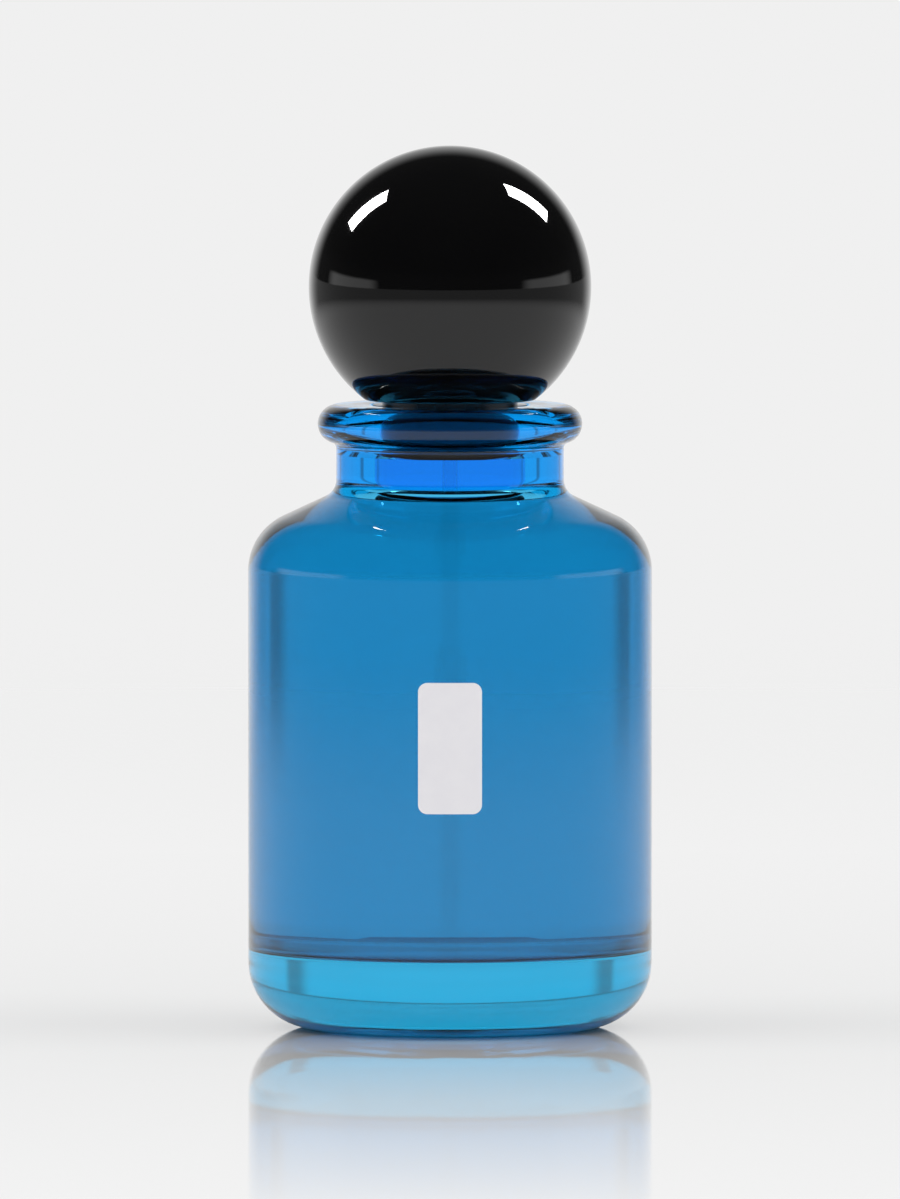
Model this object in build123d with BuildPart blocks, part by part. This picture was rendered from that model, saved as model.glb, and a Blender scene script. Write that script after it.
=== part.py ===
from build123d import *
from math import cos, radians, sin, sqrt, tan
import os

# Perfume atomiser: a round glass bottle with a rolled lip, a spray pump carried by a plug in
# its mouth, and a ball cap. Millimetres, +Z up. The origin is the centre of the base, on the
# plane that the bottle stands on. The nozzle and the label face -Y.

# ---- Driving dimensions ------------------------------------------------------------------

# Bottle body
body_radius = 26.25
body_wall = 1.8
wall_corner_height = 64.47  # where the straight wall and the shoulder slope would meet
shoulder_slope = 25.0  # degrees from level
shoulder_corner_radius = 7.8
base_corner_radius = 8.6
base_thickness = 10.0
floor_corner_radius = 3.0
recess_radius = 13.5
recess_depth = 0.8

# Bottle neck and mouth
neck_height = 11.29  # from the slope's corner with the neck up to the lip's top
neck_wall = 5.0
neck_root_radius = 2.4
bore_root_radius = 3.0
lip_overhang = 2.4
lip_bead_radius = 2.5
lip_fillet_radius = 0.8
mouth_edge_radius = 0.5
throat_depth = 5.9
bore_step = 0.7
rebate_step = 1.15

# Perfume and label
liquid_level_below_lip = 13.1
liquid_gap = 0.05
label_width = 8.3
label_height = 17.0
label_corner_radius = 1.2
label_thickness = 0.15
label_gap = 0.02
label_centre_height = 38.0

# Pump
chamber_radius = 2.9
housing_wall = 1.05
housing_flange_width = 2.05
housing_flange_thickness = 1.2
press_travel = 4.0
end_clearance = 0.4  # between the stem's foot and the chamber's floor when pressed
piston_height = 1.75
piston_slip = 0.3
piston_top_clearance = 0.3
piston_lip = 0.4
foot_thickness = 0.6
foot_gap = 0.05
stem_radius = 1.55
stem_bore_radius = 0.6
stem_port_radius = 0.35
ball_radius = 0.8
ball_cage_clearance = 0.35
ball_cage_height = 1.2
ball_seat_gap = 0.03
retainer_thickness = 0.4
retainer_hole_radius = 0.55
retainer_slot_width = 0.5
retainer_slots = 3
inlet_radius = 0.55
inlet_length = 0.7
seat_depth = 0.6
tail_wall = 0.5
tail_socket_depth = 1.5
tube_radius = 1.03
tube_wall = 0.33
tube_floor_clearance = 1.5
tube_cut_angle = 30.0  # degrees from level

# Plug, gaskets, turret and collar
barrel_wall = 2.5
barrel_height = 3.4
plug_flange_thickness = 1.2
plug_flange_width = 1.1
plug_end_margin = 0.2  # the throat ends this far below the plug
plug_step = 0.15  # plug radius over collar radius
core_pocket_depth = 3.6
core_pocket_wall = 1.3
mouth_gasket_thickness = 0.5
housing_gasket_thickness = 0.5
o_ring_radius = 0.55
o_ring_height = 2.0  # above the plug's lower end
turret_wall = 1.0
turret_web = 0.8
turret_skirt_depth = 2.5
seal_recess_radius = 2.4
seal_thickness = 0.6
collar_wall = 0.9
collar_top_thickness = 0.8
collar_edge_radius = 0.35

# Actuator and its spring
actuator_radius = 6.2
actuator_height = 12.7
actuator_wall = 0.5
actuator_top_thickness = 0.6
actuator_edge_radius = 0.9
actuator_core_setback = 0.2
actuator_pressed_clearance = 0.3
actuator_collar_overlap = 0.3
actuator_collar_clearance = 0.3
spring_pocket_radius = 4.7
spring_seat_depth = 4.7
spring_radius = 3.4
spring_wire_radius = 0.3
spring_turns = 6
socket_depth = 3.0
nozzle_below_top = 4.0
nozzle_radius = 1.55
nozzle_length = 1.9
nozzle_recess_radius = 0.75
nozzle_recess_depth = 0.35
nozzle_orifice_radius = 0.15
nozzle_window_margin = 0.35
channel_radius = 0.5

# Ball cap
cap_radius = 18.36
cap_rim = 0.7
cap_rim_edge_radius = 0.25
cap_lip_gap = 0.6
liner_wall = 1.05
liner_ledge_width = 1.85
liner_ledge_thickness = 1.2
liner_top_thickness = 0.8
liner_fit = 0.1
actuator_headroom = 1.2
grip_ring_radius = 0.35
grip_ring_height = 4.5  # above the cap's lower face
weight_thickness = 3.1

# Clearances
running_clearance = 0.05
slide_clearance = 0.15
grip_clearance = 0.1
cap_clearance = 0.35

# ---- Radii, from the pump's chamber outwards ---------------------------------------------

housing_radius = chamber_radius + housing_wall
housing_flange_radius = housing_radius + housing_flange_width
tube_socket_radius = tube_radius + running_clearance
tail_radius = tube_socket_radius + tail_wall
stem_hole_radius = stem_radius + running_clearance
plug_bore_radius = housing_radius + slide_clearance
barrel_radius = plug_bore_radius + barrel_wall
turret_inner_radius = barrel_radius + slide_clearance
turret_radius = turret_inner_radius + turret_wall
collar_inner_radius = turret_radius + slide_clearance
collar_radius = collar_inner_radius + collar_wall
plug_radius = collar_radius + plug_step
throat_radius = plug_radius + slide_clearance
plug_flange_radius = plug_radius + plug_flange_width
rebate_radius = throat_radius + rebate_step
bore_radius = throat_radius + bore_step
neck_radius = bore_radius + neck_wall
lip_radius = neck_radius + lip_overhang
inner_radius = body_radius - body_wall
liner_inner_radius = collar_radius + cap_clearance
liner_radius = liner_inner_radius + liner_wall
pocket_radius = liner_radius + liner_fit
cap_base_radius = pocket_radius + cap_rim

# ---- Heights, from the base upwards ------------------------------------------------------

slope = tan(radians(shoulder_slope))
half_corner = tan(radians((90 - shoulder_slope) / 2))
neck_corner_height = wall_corner_height + (body_radius - neck_radius) * slope
inner_corner_height = wall_corner_height - body_wall * half_corner
lip_top = neck_corner_height + neck_height
rebate_floor = lip_top - plug_flange_thickness - mouth_gasket_thickness
throat_bottom = lip_top - throat_depth
plug_bottom = throat_bottom + plug_end_margin
liquid_top = lip_top - liquid_level_below_lip
barrel_top = lip_top + barrel_height
housing_flange_bottom = barrel_top + housing_gasket_thickness
chamber_top = housing_flange_bottom + housing_flange_thickness
turret_top = chamber_top + turret_web
piston_top = chamber_top - piston_top_clearance - piston_slip
piston_bottom = piston_top - piston_height
foot_top = piston_bottom - foot_gap
foot_bottom = foot_top - foot_thickness
chamber_floor = foot_bottom - press_travel - end_clearance
retainer_bottom = chamber_floor - retainer_thickness
seat_top = retainer_bottom - ball_cage_height
seat_bottom = seat_top - seat_depth
inlet_bottom = seat_bottom - inlet_length
tail_bottom = inlet_bottom - tail_socket_depth
tube_top = inlet_bottom - running_clearance
tube_bottom = base_thickness + tube_floor_clearance
actuator_bottom = turret_top + press_travel + actuator_pressed_clearance
core_bottom = actuator_bottom + actuator_core_setback
collar_top = actuator_bottom + actuator_collar_overlap
actuator_top = actuator_bottom + actuator_height
spring_seat = actuator_bottom + spring_seat_depth
socket_top = spring_seat + socket_depth
stem_top = socket_top - running_clearance
nozzle_height = actuator_top - nozzle_below_top
cap_bottom = lip_top + cap_lip_gap
cap_centre = cap_bottom + sqrt(cap_radius**2 - cap_base_radius**2)
liner_top_inside = actuator_top + actuator_headroom
liner_top = liner_top_inside + liner_top_thickness
weight_bottom = liner_top + liner_fit
weight_top = weight_bottom + weight_thickness
pocket_top = weight_top + liner_fit


def ring_section(inner, outer, low, high):
    """Add a rectangle to the open sketch of a turned section: radius across, height up."""
    with Locations(((inner + outer) / 2, (low + high) / 2)):
        Rectangle(outer - inner, high - low)


def cavity_corners(gap):
    """Give the corners of the bottle's inside, as a turned section shrunk by a gap."""
    wall = inner_radius - gap
    bore = bore_radius - gap
    corner = inner_corner_height - gap * half_corner
    return (
        (0, base_thickness + gap),
        (wall, base_thickness + gap),
        (wall, corner),
        (bore, corner + (wall - bore) * slope),
        (bore, throat_bottom - bore_step),
        (throat_radius - gap, throat_bottom),
        (0, throat_bottom),
    )


inner_shoulder_radius = shoulder_corner_radius - body_wall
cavity_radii = (floor_corner_radius, inner_shoulder_radius, bore_root_radius, 0, 0)


# ---- Bottle ------------------------------------------------------------------------------

# The lip is a round bead on the neck; a small fillet eases the neck into it.
bead_centre_radius = lip_radius - lip_bead_radius
bead_centre_height = lip_top - lip_bead_radius
fillet_centre_radius = neck_radius + lip_fillet_radius
bead_reach = lip_bead_radius + lip_fillet_radius
bead_offset = fillet_centre_radius - bead_centre_radius
fillet_centre_height = bead_centre_height - sqrt(bead_reach**2 - bead_offset**2)
bead_share = lip_bead_radius / bead_reach
bead_start = (
    bead_centre_radius + bead_offset * bead_share,
    bead_centre_height - (bead_centre_height - fillet_centre_height) * bead_share,
)

with BuildPart() as bottle:
    with BuildSketch(Plane.XZ):
        with BuildLine():
            FilletPolyline(
                (recess_radius, 0),
                (body_radius, 0),
                (body_radius, wall_corner_height),
                (neck_radius, neck_corner_height),
                (neck_radius, fillet_centre_height),
                radius=(base_corner_radius, shoulder_corner_radius, neck_root_radius),
            )
            RadiusArc(bead_start, (neck_radius, fillet_centre_height), lip_fillet_radius)
            ThreePointArc(bead_start, (lip_radius, bead_centre_height), (bead_centre_radius, lip_top))
            Polyline((bead_centre_radius, lip_top), (0, lip_top), (0, recess_depth))
            ThreePointArc(
                (0, recess_depth),
                (recess_radius * sin(radians(45)), recess_depth / 2),
                (recess_radius, 0),
            )
        make_face()
    revolve(axis=Axis.Z)
    with BuildSketch(Plane.XZ):
        with BuildLine():
            cavity = FilletPolyline(*cavity_corners(0), radius=cavity_radii)
            Line(cavity @ 1, cavity @ 0)
        make_face()
    revolve(axis=Axis.Z, mode=Mode.SUBTRACT)
    with BuildSketch(Plane.XZ):
        ring_section(0, throat_radius, throat_bottom, lip_top)
        ring_section(0, rebate_radius, rebate_floor, lip_top)
    revolve(axis=Axis.Z, mode=Mode.SUBTRACT)
    mouth_edges = bottle.edges().filter_by(GeomType.CIRCLE).group_by(Axis.Z)[-1]
    fillet(mouth_edges.sort_by(SortBy.RADIUS)[0], mouth_edge_radius)

bottle.part.label = "bottle"

# The perfume fills the body up to the root of the neck, round the dip tube.
with BuildPart() as perfume:
    with BuildSketch(Plane.XZ):
        with BuildLine():
            fill = FilletPolyline(*cavity_corners(liquid_gap), radius=cavity_radii)
            Line(fill @ 1, fill @ 0)
        make_face()
    revolve(axis=Axis.Z)
    split(bisect_by=Plane.XY.offset(liquid_top), keep=Keep.BOTTOM)
    with BuildSketch(Plane.XY.offset(tube_bottom - liquid_gap)):
        Circle(tube_radius + liquid_gap)
    extrude(amount=liquid_top, mode=Mode.SUBTRACT)

perfume.part.label = "perfume"

with BuildPart() as front_label:
    with BuildSketch(Plane.XZ):
        with Locations((0, label_centre_height)):
            RectangleRounded(label_width, label_height, label_corner_radius)
    extrude(amount=body_radius + 2 * label_thickness)
    with BuildSketch(Plane.XY):
        Circle(body_radius + label_gap + label_thickness)
        Circle(body_radius + label_gap, mode=Mode.SUBTRACT)
    extrude(amount=wall_corner_height, mode=Mode.INTERSECT)

front_label.part.label = "front_label"

# ---- Plug and seals in the mouth ---------------------------------------------------------

with BuildPart() as mouth_gasket:
    with BuildSketch(Plane.XZ):
        gasket_top = rebate_floor + mouth_gasket_thickness
        ring_section(throat_radius, plug_flange_radius, rebate_floor, gasket_top)
    revolve(axis=Axis.Z)

mouth_gasket.part.label = "mouth_gasket"

o_ring_centre_radius = plug_radius + slide_clearance - running_clearance - o_ring_radius
o_ring_centre_height = plug_bottom + o_ring_height
groove_root_radius = o_ring_centre_radius - o_ring_radius - running_clearance
groove_half_height = o_ring_radius + running_clearance

# The plug carries the pump: a flange in the mouth's rebate, a skirt in the throat and a
# barrel that stands above the lip. A ring-shaped pocket keeps its walls even.
with BuildPart() as neck_plug:
    with BuildSketch(Plane.XZ):
        ring_section(plug_bore_radius, plug_radius, plug_bottom, lip_top)
        ring_section(plug_bore_radius, plug_flange_radius, lip_top - plug_flange_thickness, lip_top)
        ring_section(plug_bore_radius, barrel_radius, plug_bottom, barrel_top)
    revolve(axis=Axis.Z)
    with BuildSketch(Plane.XZ):
        pocket_inner = plug_bore_radius + core_pocket_wall
        pocket_outer = groove_root_radius - core_pocket_wall / 2
        ring_section(pocket_inner, pocket_outer, plug_bottom, plug_bottom + core_pocket_depth)
    revolve(axis=Axis.Z, mode=Mode.SUBTRACT)
    with BuildSketch(Plane.XZ):
        groove_low = o_ring_centre_height - groove_half_height
        groove_high = o_ring_centre_height + groove_half_height
        ring_section(groove_root_radius, plug_radius + slide_clearance, groove_low, groove_high)
    revolve(axis=Axis.Z, mode=Mode.SUBTRACT)

neck_plug.part.label = "neck_plug"

with BuildPart() as plug_o_ring:
    with BuildSketch(Plane.XZ):
        with Locations((o_ring_centre_radius, o_ring_centre_height)):
            Circle(o_ring_radius)
    revolve(axis=Axis.Z)

plug_o_ring.part.label = "plug_o_ring"

# ---- Pump --------------------------------------------------------------------------------

# One moulding: flange, chamber, ball seat, inlet and the tail that holds the dip tube.
with BuildPart() as pump_housing:
    with BuildSketch(Plane.XZ):
        ring_section(0, housing_radius, seat_bottom, chamber_top)
        ring_section(0, housing_flange_radius, housing_flange_bottom, chamber_top)
        ring_section(0, tail_radius, tail_bottom, seat_bottom)
    revolve(axis=Axis.Z)
    with BuildSketch(Plane.XZ):
        ring_section(0, chamber_radius, retainer_bottom, chamber_top)
        ring_section(0, ball_radius + ball_cage_clearance, seat_top, retainer_bottom)
        ring_section(0, inlet_radius, inlet_bottom, seat_bottom)
        ring_section(0, tube_socket_radius, tail_bottom, inlet_bottom)
        with BuildLine():
            Polyline(
                (0, seat_bottom),
                (inlet_radius, seat_bottom),
                (ball_radius + ball_cage_clearance, seat_top),
                (0, seat_top),
                close=True,
            )
        make_face()
    revolve(axis=Axis.Z, mode=Mode.SUBTRACT)

pump_housing.part.label = "pump_housing"

with BuildPart() as ball_retainer:
    with BuildSketch(Plane.XY.offset(retainer_bottom)):
        Circle(chamber_radius - running_clearance)
        Circle(retainer_hole_radius, mode=Mode.SUBTRACT)
        slot_reach = ball_radius + ball_cage_clearance
        with PolarLocations(slot_reach / 2, retainer_slots):
            Rectangle(slot_reach, retainer_slot_width, mode=Mode.SUBTRACT)
    extrude(amount=retainer_thickness)

ball_retainer.part.label = "ball_retainer"

# The ball rests on the seat's cone, which narrows from the cage to the inlet.
seat_run = ball_radius + ball_cage_clearance - inlet_radius
seat_length = sqrt(seat_run**2 + seat_depth**2)
seat_apex = seat_bottom - inlet_radius * seat_depth / seat_run
ball_centre_height = seat_apex + ball_radius * seat_length / seat_run + ball_seat_gap

with BuildPart(Plane.XY.offset(ball_centre_height)) as inlet_ball:
    Sphere(ball_radius)

inlet_ball.part.label = "inlet_ball"

with BuildPart() as dip_tube:
    with BuildSketch(Plane.XY.offset(tube_bottom)):
        Circle(tube_radius)
        Circle(tube_radius - tube_wall, mode=Mode.SUBTRACT)
    extrude(amount=tube_top - tube_bottom)
    cut_height = tube_bottom + tube_radius * tan(radians(tube_cut_angle))
    cut_normal = (-sin(radians(tube_cut_angle)), 0, cos(radians(tube_cut_angle)))
    split(bisect_by=Plane(origin=(0, 0, cut_height), z_dir=cut_normal), keep=Keep.TOP)

dip_tube.part.label = "dip_tube"

with BuildPart() as housing_gasket:
    with BuildSketch(Plane.XZ):
        ring_section(plug_bore_radius, housing_flange_radius, barrel_top, housing_flange_bottom)
    revolve(axis=Axis.Z)

housing_gasket.part.label = "housing_gasket"

# The turret snaps over the barrel, clamps the housing's flange and guides the stem.
with BuildPart() as pump_turret:
    with BuildSketch(Plane.XZ):
        ring_section(turret_inner_radius, turret_radius, barrel_top - turret_skirt_depth, turret_top)
        ring_section(stem_hole_radius, turret_radius, chamber_top, turret_top)
    revolve(axis=Axis.Z)
    with BuildSketch(Plane.XZ):
        ring_section(0, seal_recess_radius, turret_top - seal_thickness, turret_top)
    revolve(axis=Axis.Z, mode=Mode.SUBTRACT)

pump_turret.part.label = "pump_turret"

with BuildPart() as stem_seal:
    with BuildSketch(Plane.XZ):
        seal_outer = seal_recess_radius - running_clearance
        ring_section(stem_hole_radius, seal_outer, turret_top - seal_thickness, turret_top)
    revolve(axis=Axis.Z)

stem_seal.part.label = "stem_seal"

with BuildPart() as piston:
    with BuildSketch(Plane.XZ):
        hub_radius = stem_hole_radius + piston_lip
        lip_outer = chamber_radius - running_clearance
        web_low = piston_bottom + piston_height / 3
        web_high = piston_top - piston_height / 3
        ring_section(stem_hole_radius, hub_radius, piston_bottom, piston_top)
        ring_section(hub_radius, lip_outer, web_low, web_high)
        ring_section(lip_outer - piston_lip, lip_outer, piston_bottom, piston_top)
    revolve(axis=Axis.Z)

piston.part.label = "piston"

with BuildPart() as stem:
    with BuildSketch(Plane.XZ):
        ring_section(stem_bore_radius, stem_radius, foot_top, stem_top)
    revolve(axis=Axis.Z)
    port_height = foot_top + foot_gap + piston_height / 2
    with BuildSketch(Plane.XZ.offset(-stem_radius)):
        with Locations((0, port_height)):
            Circle(stem_port_radius)
    extrude(amount=2 * stem_radius, mode=Mode.SUBTRACT)

stem.part.label = "stem"

# The foot carries the piston up again and shuts the stem's port while the pump rests.
with BuildPart() as stem_foot:
    with BuildSketch(Plane.XZ):
        foot_radius = (stem_radius + chamber_radius) / 2
        spigot_radius = stem_bore_radius - running_clearance
        ring_section(0, foot_radius, foot_bottom, foot_top)
        ring_section(0, spigot_radius, foot_top, port_height - stem_port_radius)
    revolve(axis=Axis.Z)

stem_foot.part.label = "stem_foot"

# ---- Actuator and return spring ----------------------------------------------------------

with BuildPart() as return_spring:
    spring_low = turret_top + spring_wire_radius
    spring_high = spring_seat - spring_wire_radius - running_clearance
    spring_pitch = (spring_high - spring_low) / spring_turns
    with BuildLine() as spring_path:
        Helix(spring_pitch, spring_high - spring_low, spring_radius, center=(0, 0, spring_low))
    with BuildSketch(Plane(origin=spring_path.line @ 0, z_dir=spring_path.line % 0)):
        Circle(spring_wire_radius)
    sweep(path=spring_path.line, is_frenet=True)

return_spring.part.label = "return_spring"

with BuildPart() as actuator_core:
    core_radius = actuator_radius - actuator_wall - running_clearance
    core_top = actuator_top - actuator_top_thickness - running_clearance
    with BuildSketch(Plane.XZ):
        ring_section(0, core_radius, core_bottom, core_top)
    revolve(axis=Axis.Z)
    fillet(actuator_core.edges().group_by(Axis.Z)[-1], actuator_edge_radius - actuator_wall)
    with BuildSketch(Plane.XZ):
        ring_section(0, spring_pocket_radius, core_bottom, spring_seat)
        ring_section(0, stem_hole_radius, spring_seat, socket_top)
        ring_section(0, channel_radius, socket_top, nozzle_height)
    revolve(axis=Axis.Z, mode=Mode.SUBTRACT)
    with BuildSketch(Plane.XZ):
        with Locations((0, nozzle_height)):
            Circle(channel_radius)
    extrude(amount=core_radius, mode=Mode.SUBTRACT)
    with BuildSketch(Plane.XZ.offset(core_radius - nozzle_length)):
        with Locations((0, nozzle_height)):
            Circle(nozzle_radius + running_clearance)
    extrude(amount=nozzle_length, mode=Mode.SUBTRACT)

actuator_core.part.label = "actuator_core"

with BuildPart() as actuator_shell:
    with BuildSketch(Plane.XZ):
        ring_section(0, actuator_radius, actuator_bottom, actuator_top)
    revolve(axis=Axis.Z)
    fillet(actuator_shell.edges().group_by(Axis.Z)[-1], actuator_edge_radius)
    with BuildSketch(Plane.XZ):
        shell_inner_radius = actuator_radius - actuator_wall
        ring_section(0, shell_inner_radius, actuator_bottom, actuator_top - actuator_top_thickness)
    revolve(axis=Axis.Z, mode=Mode.SUBTRACT)
    with BuildSketch(Plane.XZ):
        with Locations((0, nozzle_height)):
            Circle(nozzle_radius + nozzle_window_margin)
    extrude(amount=actuator_radius, mode=Mode.SUBTRACT)

actuator_shell.part.label = "actuator_shell"

with BuildPart() as nozzle_insert:
    with BuildSketch(Plane.XZ.offset(core_radius - nozzle_length + running_clearance)):
        with Locations((0, nozzle_height)):
            Circle(nozzle_radius)
            Circle(nozzle_orifice_radius, mode=Mode.SUBTRACT)
    extrude(amount=nozzle_length)
    with BuildSketch(Plane.XZ.offset(core_radius + running_clearance - nozzle_recess_depth)):
        with Locations((0, nozzle_height)):
            Circle(nozzle_recess_radius)
    extrude(amount=nozzle_recess_depth, mode=Mode.SUBTRACT)

nozzle_insert.part.label = "nozzle_insert"

with BuildPart() as collar:
    with BuildSketch(Plane.XZ):
        collar_hole_radius = actuator_radius + actuator_collar_clearance
        ring_section(collar_inner_radius, collar_radius, lip_top, collar_top)
        ring_section(collar_hole_radius, collar_radius, collar_top - collar_top_thickness, collar_top)
    revolve(axis=Axis.Z)
    fillet(collar.edges().group_by(Axis.Z)[-1], collar_edge_radius)

collar.part.label = "collar"

# ---- Ball cap ----------------------------------------------------------------------------

with BuildPart(Plane.XY.offset(cap_centre)) as cap_ball:
    Sphere(cap_radius)
    split(bisect_by=Plane.XY.offset(cap_bottom), keep=Keep.TOP)
    fillet(cap_ball.edges().group_by(Axis.Z)[0], cap_rim_edge_radius)
    with BuildSketch(Plane.XY.offset(cap_bottom)):
        Circle(pocket_radius)
    extrude(amount=pocket_top - cap_bottom, mode=Mode.SUBTRACT)

cap_ball.part.label = "cap_ball"

grip_centre_radius = collar_radius + grip_clearance + grip_ring_radius
grip_centre_height = cap_bottom + grip_ring_height
grip_groove_radius = grip_centre_radius + grip_ring_radius + running_clearance
grip_groove_half_height = grip_ring_radius + running_clearance

# The liner is a cup pressed into the ball. Its ledge stands on the collar and so keeps the
# ball clear of the glass lip.
with BuildPart() as cap_liner:
    with BuildSketch(Plane.XZ):
        ledge_inner = liner_inner_radius - liner_ledge_width
        ring_section(liner_inner_radius, liner_radius, cap_bottom, liner_top)
        ring_section(ledge_inner, liner_radius, collar_top, collar_top + liner_ledge_thickness)
        ring_section(0, liner_radius, liner_top_inside, liner_top)
    revolve(axis=Axis.Z)
    with BuildSketch(Plane.XZ):
        grip_low = grip_centre_height - grip_groove_half_height
        grip_high = grip_centre_height + grip_groove_half_height
        ring_section(0, grip_groove_radius, grip_low, grip_high)
    revolve(axis=Axis.Z, mode=Mode.SUBTRACT)

cap_liner.part.label = "cap_liner"

with BuildPart() as cap_grip_ring:
    with BuildSketch(Plane.XZ):
        with Locations((grip_centre_radius, grip_centre_height)):
            Circle(grip_ring_radius)
    revolve(axis=Axis.Z)

cap_grip_ring.part.label = "cap_grip_ring"

with BuildPart() as cap_weight:
    with BuildSketch(Plane.XZ):
        ring_section(0, liner_radius, weight_bottom, weight_top)
    revolve(axis=Axis.Z)

cap_weight.part.label = "cap_weight"

# ---- One file for each piece -------------------------------------------------------------

os.makedirs("parts", exist_ok=True)
export_step(bottle.part, "parts/bottle.step")
export_step(perfume.part, "parts/perfume.step")
export_step(front_label.part, "parts/front_label.step")
export_step(mouth_gasket.part, "parts/mouth_gasket.step")
export_step(neck_plug.part, "parts/neck_plug.step")
export_step(plug_o_ring.part, "parts/plug_o_ring.step")
export_step(pump_housing.part, "parts/pump_housing.step")
export_step(ball_retainer.part, "parts/ball_retainer.step")
export_step(inlet_ball.part, "parts/inlet_ball.step")
export_step(dip_tube.part, "parts/dip_tube.step")
export_step(housing_gasket.part, "parts/housing_gasket.step")
export_step(pump_turret.part, "parts/pump_turret.step")
export_step(stem_seal.part, "parts/stem_seal.step")
export_step(piston.part, "parts/piston.step")
export_step(stem.part, "parts/stem.step")
export_step(stem_foot.part, "parts/stem_foot.step")
export_step(return_spring.part, "parts/return_spring.step")
export_step(actuator_core.part, "parts/actuator_core.step")
export_step(actuator_shell.part, "parts/actuator_shell.step")
export_step(nozzle_insert.part, "parts/nozzle_insert.step")
export_step(collar.part, "parts/collar.step")
export_step(cap_ball.part, "parts/cap_ball.step")
export_step(cap_liner.part, "parts/cap_liner.step")
export_step(cap_grip_ring.part, "parts/cap_grip_ring.step")
export_step(cap_weight.part, "parts/cap_weight.step")
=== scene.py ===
"""Perfume atomiser: round tinted glass bottle, spray pump and black ball cap.

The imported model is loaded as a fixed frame. What shows is rebuilt here as fine turned meshes at
the frame's own sizes and places, and every piece is dressed in a procedural finish. All lengths
are in metres.
"""

import logging
from dataclasses import dataclass, field
from enum import Enum
from math import asin, cos, degrees, pi, radians, sin, sqrt, tan

import bpy
from mathutils import Matrix, Vector

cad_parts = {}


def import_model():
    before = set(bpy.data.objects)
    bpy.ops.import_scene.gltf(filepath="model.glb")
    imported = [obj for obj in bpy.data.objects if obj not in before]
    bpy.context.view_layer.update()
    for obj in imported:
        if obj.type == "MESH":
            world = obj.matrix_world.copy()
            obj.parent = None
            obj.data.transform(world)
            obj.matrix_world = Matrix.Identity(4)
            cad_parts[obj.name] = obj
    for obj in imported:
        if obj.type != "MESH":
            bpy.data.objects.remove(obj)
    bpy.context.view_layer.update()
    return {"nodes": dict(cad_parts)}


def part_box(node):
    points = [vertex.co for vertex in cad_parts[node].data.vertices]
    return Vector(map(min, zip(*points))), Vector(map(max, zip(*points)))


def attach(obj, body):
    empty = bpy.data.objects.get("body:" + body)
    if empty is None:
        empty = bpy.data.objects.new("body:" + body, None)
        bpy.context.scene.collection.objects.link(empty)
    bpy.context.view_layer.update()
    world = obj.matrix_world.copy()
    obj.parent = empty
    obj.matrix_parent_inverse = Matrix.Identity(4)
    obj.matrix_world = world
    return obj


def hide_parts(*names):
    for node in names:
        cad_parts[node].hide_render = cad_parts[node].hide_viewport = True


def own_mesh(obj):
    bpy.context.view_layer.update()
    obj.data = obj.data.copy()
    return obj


LOG = logging.getLogger("perfume_atomiser")

Point = tuple[float, float]
Colour = tuple[float, float, float]

MM = 0.001
TURN_STEPS = 192


class Slot(Enum):
    """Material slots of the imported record."""

    BLUE_GLASS = "blue_glass"
    PERFUME = "perfume"
    LABEL = "label_white"
    RUBBER = "seal_rubber"
    BLACK_PLASTIC = "black_plastic"
    BLACK_GLOSS = "black_gloss"
    BLACK_METAL = "black_metal"
    CLEAR_PLASTIC = "clear_plastic"
    NATURAL_PLASTIC = "natural_plastic"
    SPRING_STEEL = "spring_steel"
    WEIGHT_STEEL = "weight_steel"


class Body(Enum):
    """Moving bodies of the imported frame."""

    BOTTLE = "bottle"
    STEM = "stem"
    PISTON = "piston"
    ACTUATOR = "actuator"
    INLET_BALL = "inlet_ball"
    CAP = "cap"


# ---- Node bench ----------------------------------------------------------------------------


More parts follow.
